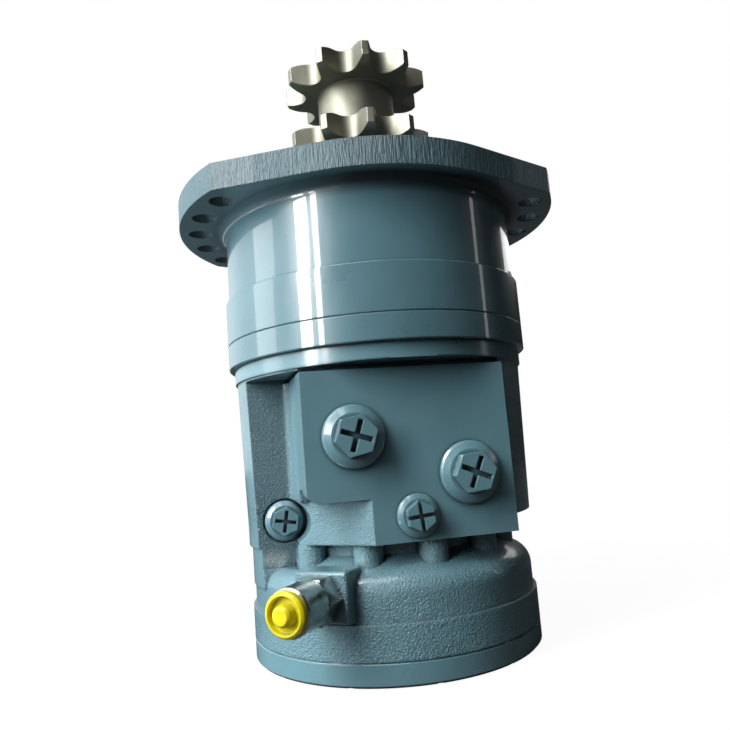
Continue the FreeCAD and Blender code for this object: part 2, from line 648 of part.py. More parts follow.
def socket_screws(label, centres, count, seat, end, shank, head, head_length, key, up):
    """Hexagon socket screws on a circle: the head lies beyond seat, the shank ends at end."""
    body = new_body(label)
    top = wrap(seat) + head_length * up
    low_head, high_head = (seat, top) if up > 0 else (top, seat)
    low_shank, high_shank = (end, seat) if up > 0 else (seat, end)
    pieces = [raise_pad(body, low_head, high_head, lambda sketch: circle(sketch, *centres, head)),
              raise_pad(body, low_shank, high_shank, lambda sketch: circle(sketch, *centres, shank))]
    key_low, key_high = (top - d.key_depth, top) if up > 0 else (top, top + d.key_depth)
    pieces.append(sink_pocket(body, key_high, key_low,
                              lambda sketch: hexagon(sketch, key, *centres)))
    around(body, pieces, count)
    return body


socket_screws("body_bolts", bolt_centres(d.body_bolt_circle), d.body_bolts, -counterbore,
              case_top - d.body_bolt_grip, d.body_bolt_radius, d.body_head_radius,
              d.body_head_length, d.body_key, 1.0)
socket_screws("cover_bolts", cover_centres(), d.cover_bolts, head_seat,
              cover_top + d.cover_bolt_grip, d.cover_bolt_radius, d.cover_head_radius,
              d.cover_head_length, d.cover_key, -1.0)


def sealing_cord(label, radius, level):
    body = doc.addObject("Part::Torus", "Cord_" + label)
    body.Label = label
    parts.append(body)
    body.setExpression("Radius1", wrap(radius).text)
    body.setExpression("Radius2", (d.cord_radius - 0.05).text)
    body.setExpression("Placement.Base.z", wrap(level).text)


sealing_cord("front_cord", d.seal_circle, cam_top + d.cord_radius)
sealing_cord("middle_cord", d.seal_circle, cam_back + d.cord_radius)
sealing_cord("rear_cord", d.seal_circle, case_top + d.cord_radius)


def port_plug(label, across, level, face, kind, turned, reach):
    """A collared plug with a hexagon and a cross slot, drawn about its own axis."""
    collar_radius, across_flats, thread, collar, head, slot = kind
    body = new_body(label)
    turn(body, [(0.0, -d.thread_length), (thread - 1.0, -d.thread_length),
                (thread, -d.thread_length + 1.0), (thread, 0.0), (collar_radius - 0.6, 0.0),
                (collar_radius, 0.6), (collar_radius, collar * 0.45),
                (collar_radius - 1.2, collar * 0.45 + 1.2),
                (across_flats * 0.62, collar), (0.0, collar)])
    raise_pad(body, collar, collar + head, lambda sketch: hexagon(sketch, across_flats))
    arm, half = across_flats * reach, slot / 2.0
    for long_x, long_y in ((arm, half), (half, arm)):
        sink_pocket(body, collar + head, collar + head * 0.45,
                    corner_box(-long_x, -long_y, long_x, long_y))
    place(body, across, face, level, (1, 0, 0), 90.0)
    upright = FreeCAD.Rotation(FreeCAD.Vector(1, 0, 0), 90.0)
    body.Placement.Rotation = upright.multiply(
        FreeCAD.Rotation(FreeCAD.Vector(0, 0, 1), turned.number))


for name, (across, level, face, kind, turned) in PORTS.items():
    seat = face + d.spot_depth if name == "bleed_plug" else face
    port_plug(name, across, level, seat, kind, turned, 0.6 if name == "gauge_plug" else 0.43)

# Drain fitting and its yellow cap, both drawn about the fitting's own axis
drain_turn = FreeCAD.Rotation(FreeCAD.Vector(0, 0, 1), -d.drain_angle.number).multiply(
    FreeCAD.Rotation(FreeCAD.Vector(1, 0, 0), 90.0))


def place_on_boss(body):
    body.Placement = FreeCAD.Placement(FreeCAD.Vector(0, 0, 0), drain_turn)
    body.setExpression("Placement.Base.x", (d.drain_face * -sin(d.drain_angle)).text)
    body.setExpression("Placement.Base.y", (d.drain_face * -cos(d.drain_angle)).text)
    body.setExpression("Placement.Base.z", (-d.drain_down).text)


fitting = new_body("drain_fitting")
raise_pad(fitting, 0.0, d.fitting_hex_length, lambda sketch: hexagon(sketch, d.fitting_hex))
turn(fitting, [(0.0, -d.thread_length), (d.fitting_thread - 1.0, -d.thread_length),
               (d.fitting_thread, -d.thread_length + 1.0), (d.fitting_thread, 1.0),
               (d.fitting_radius - 1.0, 1.0), (d.fitting_radius - 1.0, d.fitting_hex_length),
               (d.fitting_radius, d.fitting_hex_length + 1.0),
               (d.fitting_radius, d.fitting_length - 1.0),
               (d.fitting_radius - 1.0, d.fitting_length), (0.0, d.fitting_length)])
sink_pocket(fitting, d.fitting_length + 1.0, -d.thread_length - 1.0,
            lambda sketch: circle(sketch, 0.0, 0.0, d.fitting_bore))
place_on_boss(fitting)

dust_cap = new_body("fitting_cap")
cap_end = d.fitting_length + d.cap_length
turn(dust_cap, [(0.0, d.fitting_length - d.cap_plug_length),
                (d.fitting_bore - 1.0, d.fitting_length - d.cap_plug_length),
                (d.fitting_bore - d.port_clearance, d.fitting_length - 3.0),
                (d.fitting_bore - d.port_clearance, d.fitting_length),
                (d.cap_radius, d.fitting_length), (d.cap_radius, cap_end - 1.5),
                (d.cap_radius - 1.5, cap_end), (d.cap_knob_radius + 4.0, cap_end),
                (d.cap_knob_radius + 3.5, cap_end - 3.5), (d.cap_knob_radius, cap_end - 3.5),
                (d.cap_knob_radius - 0.6, cap_end + d.cap_knob_rise - 1.5),
                (d.cap_knob_radius - 2.0, cap_end + d.cap_knob_rise),
                (0.0, cap_end + d.cap_knob_rise)])
place_on_boss(dust_cap)

# Double sprocket: two rows of ten teeth on one hub
sprocket = new_body("double_sprocket")
upper_top = d.sprocket_end
lower_top = upper_top - d.row_pitch
upper_foot, lower_foot = upper_top - d.wheel_width, lower_top - d.wheel_width
relief_span = d.tip_radius - d.relief_start
relief_round = (relief_span * relief_span + d.tip_relief * d.tip_relief) / (d.tip_relief * 2.0)


def wheel(foot, top):
    """One wheel's outline: square at the root, and thinner towards the teeth's tips."""
    return [(d.relief_start, foot),
            (d.tip_radius, foot + d.tip_relief, d.relief_start, foot + relief_round),
            (d.tip_radius, top - d.tip_relief),
            (d.relief_start, top, d.relief_start, top - relief_round)]


turn(sprocket, [
    (d.spline_radius, d.sprocket_start), (d.hub_radius, d.sprocket_start),
    (d.hub_radius, lower_foot - d.hub_fillet),
    (d.hub_radius + d.hub_fillet, lower_foot, d.hub_radius + d.hub_fillet, lower_foot - d.hub_fillet),
    *wheel(lower_foot, lower_top), (d.hub_radius + d.hub_fillet, lower_top),
    (d.hub_radius, lower_top + d.hub_fillet, d.hub_radius + d.hub_fillet, lower_top + d.hub_fillet),
    (d.hub_radius, upper_foot - d.hub_fillet),
    (d.hub_radius + d.hub_fillet, upper_foot, d.hub_radius + d.hub_fillet, upper_foot - d.hub_fillet),
    *wheel(upper_foot, upper_top), (d.spline_radius, upper_top)])


def tooth_gap(sketch):
    """One gap: the roller's seat, and flanks that open outwards."""
    pitch_radius = d.chain_pitch / 2.0 / sin(Size("(180 / Sheet.teeth)", 180.0 / d.teeth.number))
    side, forward = sin(d.flank_angle), cos(d.flank_angle)
    start_x, start_y = pitch_radius - d.roller_seat * side, d.roller_seat * forward
    reach = (d.tip_radius - pitch_radius + d.roller_seat) * 1.2
    end_x, end_y = start_x + reach * forward, start_y + reach * side
    middle = pitch_radius - d.roller_seat
    outline(sketch, [(start_x, -start_y, pitch_radius, 0.0), (end_x, -end_y), (end_x, end_y),
                     (start_x, start_y),
                     (middle, 0.0, pitch_radius, 0.0)])


around(sprocket, [sink_pocket(sprocket, upper_top + 1.0, lower_foot - 1.0, tooth_gap)], d.teeth)
sprocket.Placement.Rotation = FreeCAD.Rotation(FreeCAD.Vector(0, 0, 1), d.tooth_angle.number)

# Output shaft with its retaining washer and centre bolt
shaft = new_body("output_shaft")
shaft_end = d.sprocket_end - d.bolt_end_gap
turn(shaft, [
    (0.0, shaft_foot), (d.shaft_tail_radius, shaft_foot), (d.shaft_tail_radius, nut_foot),
    (d.inner_seat_radius, nut_foot), (d.inner_seat_radius, inner_top),
    (d.inner_seat_radius + 4.5, inner_top), (d.inner_seat_radius + 4.5, outer_foot),
    (d.journal_radius, outer_foot), (d.journal_radius, d.sprocket_start),
    (d.spline_radius, d.sprocket_start), (d.spline_radius, shaft_end - 1.5),
    (d.spline_radius - 1.5, shaft_end), (0.0, shaft_end)])
bolt_foot = d.sprocket_end + d.washer_thick - d.centre_bolt_length
sink_pocket(shaft, shaft_end, bolt_foot - 4.0,
            lambda sketch: circle(sketch, 0.0, 0.0, d.centre_bolt_radius))
washer = new_body("sprocket_washer")
washer_top = d.sprocket_end + d.washer_thick
turn(washer, [(d.centre_bolt_radius + 0.5, d.sprocket_end), (d.washer_radius, d.sprocket_end),
              (d.washer_radius, washer_top - 1.0), (d.washer_radius - 1.0, washer_top),
              (d.centre_bolt_radius + 0.5, washer_top)])
centre_bolt = new_body("sprocket_bolt")
raise_pad(centre_bolt, washer_top, washer_top + 10.0,
          lambda sketch: hexagon(sketch, d.centre_bolt_head * 2.0))
raise_pad(centre_bolt, bolt_foot, washer_top,
          lambda sketch: circle(sketch, 0.0, 0.0, d.centre_bolt_radius))

# Shaft seal, bearing nut and the two tapered roller bearings
seal = new_body("shaft_seal")
turn(seal, [(d.journal_radius + 0.05, seal_foot + 4.0), (d.journal_radius + 3.0, seal_foot + 2.0),
            (d.seal_outer - 2.0, seal_foot + 2.0), (d.seal_outer - 2.0, seal_foot),
            (d.seal_outer, seal_foot), (d.seal_outer, seal_top), (d.journal_radius + 1.0, seal_top),
            (d.journal_radius + 2.5, seal_foot + 6.0), (d.journal_radius + 0.05, seal_foot + 5.0)])
nut = new_body("bearing_nut")
turn(nut, [(d.inner_seat_radius, nut_foot), (d.nut_radius, nut_foot), (d.nut_radius, nut_top),
           (d.inner_seat_radius, nut_top)])
around(nut, [sink_pocket(nut, nut_top + 1.0, nut_foot - 1.0, lambda sketch: outline(sketch, [
    (d.nut_radius - 4.0, -3.0), (d.nut_radius + 2.0, -3.0), (d.nut_radius + 2.0, 3.0),
    (d.nut_radius - 4.0, 3.0)]))], wrap(4))


def tapered_bearing(label, seat, race, wide, narrow):
    """Cone on the shaft, cup in the housing, and the rollers in their cage between them."""
    taper = d.race_taper
    cone = new_body(label + "_bearing_cone")
    turn(cone, [(seat, narrow), (seat + d.race_wall, narrow), (seat + d.race_wall + taper, wide),
                (seat, wide)])
    cup = new_body(label + "_bearing_cup")
    turn(cup, [(race, narrow), (race - d.race_wall - taper, narrow), (race - d.race_wall, wide),
               (race, wide)])
    rise = (wide - narrow).number
    lean = math.atan2(taper.number, abs(rise))
    across = (race - d.race_wall - taper - seat - d.race_wall).number
    radius = across / 2.0 * math.cos(lean) - d.running_gap.number
    axis = FreeCAD.Vector(math.sin(lean), 0, math.copysign(math.cos(lean), rise))
    middle = FreeCAD.Vector((seat + d.race_wall + taper / 2.0).number + across / 2.0, 0,
                            (wide + narrow).number / 2.0)
    length = abs(rise) * 0.72
    solids = []
    for grow in (0.0, 0.25):
        roller = Part.makeCylinder(radius + grow, length + 2.0 * grow,
                                   middle - axis * (length / 2.0 + grow), axis)
        for index in range(int(d.rollers.number)):
            turned = roller.copy()
            turned.rotate(FreeCAD.Vector(), FreeCAD.Vector(0, 0, 1),
                          TURN * index / d.rollers.number)
            solids.append(turned)
    count = len(solids) // 2
    side = FreeCAD.Vector(axis.z, 0, -axis.x)
    reach = axis * (length / 2.0 + 2.0)
    corners = [middle - reach - side, middle + reach - side, middle + reach + side,
               middle - reach + side]
    cage = Part.Face(Part.makePolygon(corners + corners[:1])).revolve(
        FreeCAD.Vector(), FreeCAD.Vector(0, 0, 1), TURN).cut(solids[count:])
    piece = doc.addObject("Part::Feature", "Rollers_" + label)
    piece.Label = label + "_bearing_rollers"
    piece.Shape = Part.makeCompound(solids[:count] + cage.Solids)
    parts.append(piece)


tapered_bearing("outer", d.journal_radius, d.outer_race_radius, outer_top, outer_foot)
tapered_bearing("inner", d.inner_seat_radius, d.inner_race_radius, nut_top, inner_top)

# Cylinder block with eight radial bores; each piston carries a roller to the cam
rotor = new_body("cylinder_block")
turn(rotor, [
    (d.brake_shaft_radius, rotor_foot), (d.rotor_radius - 1.5, rotor_foot),
    (d.rotor_radius, rotor_foot + 1.5), (d.rotor_radius, rotor_top - 1.5),
    (d.rotor_radius - 1.5, rotor_top), (d.shaft_tail_radius, rotor_top),
    (d.shaft_tail_radius, shaft_foot), (d.brake_shaft_radius, shaft_foot)])
half_step = TURN / 2.0 / SIZES["pistons"]
piston_foot = d.cam_mean_radius - d.cam_lift - d.roller_gap - d.roller_radius - d.piston_length
piston_bore = rotor.newObject("PartDesign::SubtractiveCylinder", "PistonBore")
piston_bore.setExpression("Radius", (d.piston_radius + d.piston_clearance).text)
piston_bore.setExpression("Height", (d.rotor_radius + 2.0 - piston_foot + 2.0).text)
doc.recompute()
piston_bore.AttachmentSupport = [(origin_plane(rotor, "YZ_Plane"), "")]
piston_bore.MapMode = "FlatFace"
piston_bore.AttachmentOffset = FreeCAD.Placement(
    FreeCAD.Vector(0, piston_level.number, (piston_foot - 2.0).number), FreeCAD.Rotation())
piston_bore.setExpression("AttachmentOffset.Base.y", piston_level.text)
piston_bore.setExpression("AttachmentOffset.Base.z", (piston_foot - 2.0).text)
rotor.Tip = piston_bore
around(rotor, [piston_bore], d.pistons)
rotor.Placement = FreeCAD.Placement(FreeCAD.Vector(),
                                    FreeCAD.Rotation(FreeCAD.Vector(0, 0, 1), half_step))
for index in range(SIZES["pistons"]):
    angle = half_step + TURN * index / SIZES["pistons"]
    out = FreeCAD.Rotation(FreeCAD.Vector(0, 0, 1), angle).multiply(
        FreeCAD.Rotation(FreeCAD.Vector(0, 1, 0), 90.0))
    roller_place = d.cam_mean_radius - d.cam_lift - d.roller_gap - d.roller_radius
    piston = new_body("piston_%d" % (index + 1))
    turn(piston, [(0.0, piston_foot), (d.piston_radius - 1.0, piston_foot),
                  (d.piston_radius, piston_foot + 1.0), (d.piston_radius, roller_place),
                  (0.0, roller_place)])
    seat_sketch = new_sketch(piston, "YZ_Plane", -(d.piston_radius + 1.0))
    circle(seat_sketch, 0.0, roller_place, d.roller_radius + d.running_gap)
    seat = piston.newObject("PartDesign::Pocket", "RollerSeat")
    seat.Profile = seat_sketch
    seat.Midplane = True
    seat.Type = "ThroughAll"
    piston.Placement = FreeCAD.Placement(FreeCAD.Vector(0, 0, piston_level.number), out)
    piston.setExpression("Placement.Base.z", piston_level.text)
    roller = new_body("cam_roller_%d" % (index + 1))
    half_length = d.roller_length / 2.0
    raise_pad(roller, piston_level - half_length, piston_level + half_length,
              lambda sketch: circle(sketch, 0.0, 0.0, d.roller_radius))
    reach_x = roller_place * cos(Size(repr(angle), angle))
    reach_y = roller_place * sin(Size(repr(angle), angle))
    place(roller, reach_x, reach_y, 0.0, (0, 0, 1), 0.0)

# Distributor: feeds the cylinder block through its end face
distributor = new_body("distributor")
land = (distributor_top - distributor_foot) / 7.0
groove_floor = d.distributor_radius - 5.0
profile = [(d.distributor_bore, distributor_foot), (d.distributor_radius, distributor_foot)]
for index in (1, 3):
    low, high = distributor_foot + land * index, distributor_foot + land * (index + 1)
    profile += [(d.distributor_radius, low), (groove_floor, low), (groove_floor, high),
                (d.distributor_radius, high)]
profile += [(d.distributor_radius, distributor_top), (d.distributor_bore, distributor_top)]
turn(distributor, profile)
around(distributor, [sink_pocket(
    distributor, distributor_top + 1.0, distributor_foot + land * 3.5,
    lambda sketch: circle(sketch, d.port_circle, 0.0, d.port_hole))], wrap(12))

# Two-speed spool, shifted by oil pressure at either end, behind the gauge plug
spool = new_body("speed_spool")
land_low, land_high = d.spool_length * 0.35, d.spool_length * 0.6
waist = d.spool_radius - 2.0
turn(spool, [(0.0, 0.0), (d.spool_radius, 0.0), (d.spool_radius, land_low), (waist, land_low),
             (waist, land_high), (d.spool_radius, land_high), (d.spool_radius, d.spool_length),
             (0.0, d.spool_length)])
spool_front = -d.block_front + d.thread_length + 0.1
place(spool, -d.port_c_across, spool_front, -d.port_c_down, (1, 0, 0), -90.0)

# Parking brake: a disc pack on a splined shaft, a piston and a disc spring
brake_shaft = new_body("brake_shaft")
pack_foot = spigot_top
pack_top = pack_foot + d.disc_thick * (d.discs * 2.0 + 1.0)
hub_foot = pack_foot + d.hub_end_gap
turn(brake_shaft, [
    (0.0, hub_foot), (d.brake_hub_radius, hub_foot), (d.brake_hub_radius, pack_top - 1.0),
    (d.brake_shaft_radius, pack_top - 1.0), (d.brake_shaft_radius, shaft_foot), (0.0, shaft_foot)])
plates = []
for label, inner, outer, first in (
        ("steel_plate", d.disc_inner, d.brake_bore_radius - 0.3, 0),
        ("friction_disc", d.brake_hub_radius + 0.02, d.disc_outer, 1)):
    body = new_body(label + "s")
    for index in range(first, int(d.discs.number) * 2 + 1, 2):
        level = pack_foot + d.disc_thick * index

        def annulus(sketch):
            circle(sketch, 0.0, 0.0, outer)
            circle(sketch, 0.0, 0.0, inner)
        raise_pad(body, level, level + d.disc_thick, annulus)
brake_piston = new_body("brake_piston")
piston_top = pack_top + d.brake_piston_thick
turn(brake_piston, [(d.brake_piston_bore, pack_top), (d.disc_outer, pack_top),
                    (d.brake_bore_radius - 0.05, pack_top + 2.0),
                    (d.brake_bore_radius - 0.05, piston_top), (d.brake_piston_bore, piston_top)])
brake_spring = new_body("brake_spring")
turn(brake_spring, [(d.disc_inner + 6.0, piston_top), (d.disc_inner + 7.4, piston_top),
                    (d.disc_outer - 4.0, brake_roof - 1.2), (d.disc_outer - 4.0, brake_roof),
                    (d.disc_outer - 5.4, brake_roof), (d.disc_inner + 6.0, piston_top + 1.2)])

doc.recompute()
os.makedirs("parts", exist_ok=True)
faults = [item.Label for item in doc.Objects if {"Invalid", "Error"} & set(item.State)]
faults += [part.Label for part in parts if part.Shape.isNull() or not part.Shape.isValid()]
if faults:
    raise RuntimeError("Failed: " + ", ".join(faults))
for part in parts:
    part.Shape.exportStep("parts/%s.step" % part.Label)
    print("%-24s solids %2d volume %.0f" % (part.Label, len(part.Shape.Solids), part.Shape.Volume))
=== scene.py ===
import math

import bpy
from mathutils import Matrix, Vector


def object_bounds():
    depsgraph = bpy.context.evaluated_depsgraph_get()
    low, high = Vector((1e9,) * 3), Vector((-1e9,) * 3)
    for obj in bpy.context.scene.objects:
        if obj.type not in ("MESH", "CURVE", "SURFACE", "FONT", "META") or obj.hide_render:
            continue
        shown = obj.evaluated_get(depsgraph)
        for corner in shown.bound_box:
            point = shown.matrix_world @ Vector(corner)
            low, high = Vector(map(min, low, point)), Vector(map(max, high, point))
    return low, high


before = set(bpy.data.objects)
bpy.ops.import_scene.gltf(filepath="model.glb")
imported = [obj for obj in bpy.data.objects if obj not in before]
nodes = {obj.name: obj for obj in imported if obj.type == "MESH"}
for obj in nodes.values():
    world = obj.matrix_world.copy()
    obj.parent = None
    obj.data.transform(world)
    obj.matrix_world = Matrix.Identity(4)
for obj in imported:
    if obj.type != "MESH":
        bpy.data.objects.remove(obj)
cad_box = [list(corner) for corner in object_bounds()]

# Where the motor stands: the photographer held the camera low, just in front of the
# ports, and turned it a few degrees, so the upright body leans in the picture.
CAMERA_PLACE = (-0.1130, -0.4999, -0.1976)
CAMERA_TURN = (97.773, 4.421, -11.121)
bpy.ops.object.select_all(action="DESELECT")
bpy.ops.object.camera_add(location=CAMERA_PLACE,
                          rotation=[math.radians(turn) for turn in CAMERA_TURN])
camera = bpy.context.object
camera.data.lens = 31.9
camera.data.sensor_width = 36.0
camera.data.clip_start = 0.01
scene = bpy.context.scene
scene.camera = camera
scene.view_settings.view_transform = "Standard"


def add_node(tree, kind, inputs=(), **options):
    """A node of that kind. A value that is an output is linked, and any other is set."""
    node = tree.nodes.new("ShaderNode" + kind)
    for name, value in options.items():
        setattr(node, name, value)
    for name, value in dict(inputs).items():
        if isinstance(value, bpy.types.NodeSocket):
            tree.links.new(value, node.inputs[name])
        else:
            node.inputs[name].default_value = value
    return node


class Finish:
    """A material with one shader, and short ways to add the nodes that feed it."""

    def __init__(self, name):
        self.material = bpy.data.materials.new(name)
        self.material.use_nodes = True
        self.nodes = self.material.node_tree.nodes
        self.links = self.material.node_tree.links
        self.shader = self.nodes["Principled BSDF"]
        self.place = self.nodes.new("ShaderNodeTexCoord").outputs["Object"]

    def set(self, **sockets):
        for name, value in sockets.items():
            self.shader.inputs[name.replace("_", " ")].default_value = value
        return self

    def add(self, kind, inputs=(), **options):
        return add_node(self.material.node_tree, kind, inputs, **options)

    def where(self):
        """x, y and z of the point on the piece, and of the way that its face looks."""
        place = self.add("SeparateXYZ", {"Vector": self.place}).outputs
        normal = self.add("NewGeometry").outputs["Normal"]
        return place, self.add("SeparateXYZ", {"Vector": normal}).outputs

    def noise(self, scale, detail=3.0, stretch=(1.0, 1.0, 1.0), roughness=0.55):
        """Soft random values from 0 to 1. A small stretch draws them out along that axis."""
        place = self.add("Mapping", {"Vector": self.place, "Scale": stretch}).outputs[0]
        return self.add("TexNoise", {"Vector": place, "Scale": scale, "Detail": detail,
                                     "Roughness": roughness}).outputs["Fac"]

    def spread(self, value, low, high, start=0.3, end=0.7):
        """Runs from low to high while the value runs from start to end."""
        return self.add("MapRange", {"Value": value, "From Min": start, "From Max": end,
                                     "To Min": low, "To Max": high}).outputs[0]

    def blend(self, factor, first, second):
        return self.add("Mix", {0: factor, 6: first, 7: second}, data_type="RGBA").outputs[2]

    def math(self, operation, first, second=0.5):
        return self.add("Math", {0: first, 1: second}, operation=operation).outputs[0]

    def soft_edges(self, radius):
        """Normals that roll over each edge at that radius."""
        return self.add("Bevel", {"Radius": radius}, samples=6).outputs[0]

    def crevices(self, reach):
        """0 in a slot or a tight corner of that reach, rising to 1 on an open surface."""
        return self.spread(self.open_air(reach), 0.0, 1.0, 0.30, 0.80)

    def open_air(self, reach):
        return self.add("AmbientOcclusion", {"Distance": reach}, samples=6).outputs["AO"]

    def bump(self, height, strength, distance, normal=None):
        inputs = {"Height": height, "Strength": strength, "Distance": distance}
        if normal is not None:
            inputs["Normal"] = normal
        return self.add("Bump", inputs).outputs[0]

    def feed(self, **sockets):
        for name, value in sockets.items():
            self.links.new(value, self.shader.inputs[name.replace("_", " ")])
        return self

    def on(self, *names):
        for name in names:
            nodes[name].data.materials.clear()
            nodes[name].data.materials.append(self.material)


# The floor is one sheet of white paper. The camera sees it bright, with a faint shadow,
# and it throws little light back up, so that the undersides stay dark as in the picture.
FLOOR_LEVEL = cad_box[0][2] - 0.0005
FLOOR_SIZE = 8.0
FLOOR_BACK = 1.0            # the middle of the sheet lies this far behind the motor
SHADOW_WHITE = 0.94         # near the motor this part of the sheet is plain white
SHADOW_REACH = (0.3, 1.4)   # between these distances the rest turns plain white too
bpy.ops.mesh.primitive_plane_add(size=FLOOR_SIZE, location=(0.0, FLOOR_BACK, FLOOR_LEVEL))
floor = bpy.context.object
floor.name = "floor"
paper = Finish("white_paper").set(Base_Color=(0.9, 0.9, 0.9, 1.0), Roughness=0.9)
ray = paper.add("LightPath")
dim = paper.add("BsdfDiffuse", {"Color": (0.05, 0.052, 0.054, 1.0)}).outputs[0]
glow = paper.add("Emission", {"Color": (1.0, 1.0, 1.0, 1.0), "Strength": 1.0}).outputs[0]
sheet = paper.add("MixShader", {0: ray.outputs["Is Camera Ray"], 1: dim,
                                2: paper.shader.outputs[0]}).outputs[0]
from_motor = paper.add("VectorMath", {0: paper.place, 1: (0.0, -FLOOR_BACK, 0.0)},
                       operation="DISTANCE").outputs["Value"]
whiter = paper.spread(from_motor, SHADOW_WHITE, 1.0, *SHADOW_REACH)
seen = paper.math("MULTIPLY", ray.outputs["Is Camera Ray"], whiter)
both = paper.add("MixShader", {0: seen, 1: sheet, 2: glow})
paper.links.new(both.outputs[0], paper.nodes["Material Output"].inputs["Surface"])
floor.data.materials.append(paper.material)

# The room is white behind the motor for the camera. For the light it is a bright window
# side on the left that fades to a dim side on the right.
world = bpy.data.worlds.new("window_room")
scene.world = world
world.use_nodes = True
room = world.node_tree
BRIGHTEST_WAY = (-0.80, 0.48, 0.36)
toward = add_node(room, "TexCoord").outputs["Generated"]
window_side = add_node(room, "VectorMath", {0: toward, 1: BRIGHTEST_WAY},
                       operation="DOT_PRODUCT").outputs["Value"]
level = add_node(room, "MapRange", {"Value": window_side, "From Min": 0.10, "From Max": 0.95,
                                    "To Min": 0.015, "To Max": 1.25}).outputs[0]
dim_room = room.nodes["Background"]
dim_room.inputs["Color"].default_value = (0.90, 0.97, 1.0, 1.0)
room.links.new(level, dim_room.inputs["Strength"])
white_room = add_node(room, "Background", {"Color": (1.0, 1.0, 1.0, 1.0), "Strength": 1.0})
pick = add_node(room, "MixShader", {0: add_node(room, "LightPath").outputs["Is Camera Ray"],
                                    1: dim_room.outputs[0], 2: white_room.outputs[0]})
room.links.new(pick.outputs[0], room.nodes["World Output"].inputs["Surface"])


# Two tall panes of a window on the left light the motor and show as white stripes on its
# round sides. Strips on the right draw the thin lines there. Two lamps that the gloss does
# not show only fill in.
def soft_lamp(name, azimuth, distance, height, aim_height, width, tall, power, mirrored):
    """A rectangle of light at that azimuth, counted from -Y towards +X, aimed at the axis."""
    turn = math.radians(azimuth)
    place = (distance * math.sin(turn), -distance * math.cos(turn), height)
    bpy.ops.object.light_add(type="AREA", location=place)
    lamp = bpy.context.object
    lamp.name = name
    lamp.data.shape = "RECTANGLE"
    lamp.data.size = width
    lamp.data.size_y = tall
    lamp.data.energy = power
    lamp.visible_glossy = mirrored
    lamp.rotation_euler = (math.atan2(distance, height - aim_height), 0.0, turn)


for row in (
        # name, azimuth, distance, height, aim, width, tall, power, seen in the gloss
        ("window_pane_left", -60.5, 1.4, 0.72, -0.12, 0.27, 1.5, 41.0, True),
        ("window_pane_right", -49.5, 1.4, 0.72, -0.12, 0.12, 1.5, 12.0, True),
        ("far_left_lamp", -97.0, 1.5, 0.60, -0.12, 0.6, 1.5, 8.0, True),
        ("low_left_lamp", -100.0, 0.9, -0.230, -0.10, 0.7, 0.18, 9.0, False),
        ("right_strip", 76.0, 1.6, 0.55, -0.12, 0.10, 1.2, 0.7, True),
        ("right_edge", 134.0, 2.0, 0.70, -0.12, 1.2, 0.5, 4.0, True),
        ("back_fill", 150.0, 2.2, 0.75, -0.12, 2.0, 1.6, 18.0, False),
        ("top_lamp", -38.0, 0.7, 1.3, -0.1, 0.8, 0.8, 9.0, True)):
    soft_lamp(*row)

# Bearing housing: cast iron, turned all over but for the flange's rim, which is left with
# the upright marks of the cutter. It is painted blue-grey in thick gloss enamel.
PAINT = (0.071, 0.145, 0.171, 1.0)
PAINT_DARK = (0.059, 0.124, 0.148, 1.0)
CAST_PAINT = (0.096, 0.193, 0.226, 1.0)
CAST_PAINT_DARK = (0.079, 0.163, 0.193, 1.0)
SPECK = (0.02, 0.03, 0.035, 1.0)
# The colour of painted shade in corners, holes and the pocket, and of the darker rim.
SHADE_AND_RIM_DARK = (0.004, 0.008, 0.010, 1.0)


def enamel(name, edge=0.0008, deep=PAINT_DARK, light=PAINT):
    """Gloss enamel with the orange peel, slow waves and few specks of a sprayed coat, and painted
    shade in its slots and tight corners.
    """
    paint = Finish(name).set(Metallic=0.0, IOR=1.5, Coat_Weight=0.9, Coat_Roughness=0.035)
    patches = paint.noise(16.0, 4.0)
    specks = paint.spread(paint.noise(900.0, 1.0), 0.0, 1.0, 0.77, 0.80)
    colour = paint.blend(paint.spread(patches, 0.0, 1.0), deep, light)
    colour = paint.blend(specks, colour, SPECK)
    # Painted shade: slots, joints and tight corners darken towards the shade colour.
    paint.feed(Base_Color=paint.blend(paint.crevices(0.004), SHADE_AND_RIM_DARK, colour),
               Roughness=paint.spread(patches, 0.24, 0.38))
    waves = paint.bump(paint.noise(28.0, 2.0), 0.16, 0.0035, paint.soft_edges(edge))
    return paint, paint.bump(paint.noise(380.0, 2.0), 0.10, 0.0004, waves)


RIM_RADIUS = 0.122                  # further out than this, the housing is all flange
SIDE_LEAN = 0.3                     # a face whose normal rises less than this is a side
CORNER_LEVEL = (-0.0310, -0.0225)   # heights over which the painted shadow deepens in the fillet
CORNER_RADIUS = (0.117, 0.127)      # and radii over which it thins out on the underside
CORNER_TOP = -0.012                 # none of it reaches the flange's upper face
CORNER_SIDE = (-0.090, -0.030)      # and it is thinner towards the left ear
RIM_SHADE = 0.40                    # the torn face of the rim looks darker by this part

housing_paint, skin = enamel("housing_enamel", 0.0012)
spot, facing = housing_paint.where()
from_axis = housing_paint.math("SQRT", housing_paint.math(
    "ADD", housing_paint.math("POWER", spot[0], 2.0), housing_paint.math("POWER", spot[1], 2.0)))
outside = housing_paint.math("GREATER_THAN", from_axis, RIM_RADIUS)
upright = housing_paint.math("LESS_THAN", housing_paint.math("ABSOLUTE", facing[2]), SIDE_LEAN)
rim = housing_paint.math("MULTIPLY", outside, upright)
cutter = housing_paint.noise(620.0, 3.0, stretch=(1.0, 1.0, 0.10), roughness=0.7)
broken = housing_paint.noise(520.0, 3.0, stretch=(1.0, 1.0, 0.4))
marks = housing_paint.math("ADD", cutter, housing_paint.math("MULTIPLY", broken, 0.5))
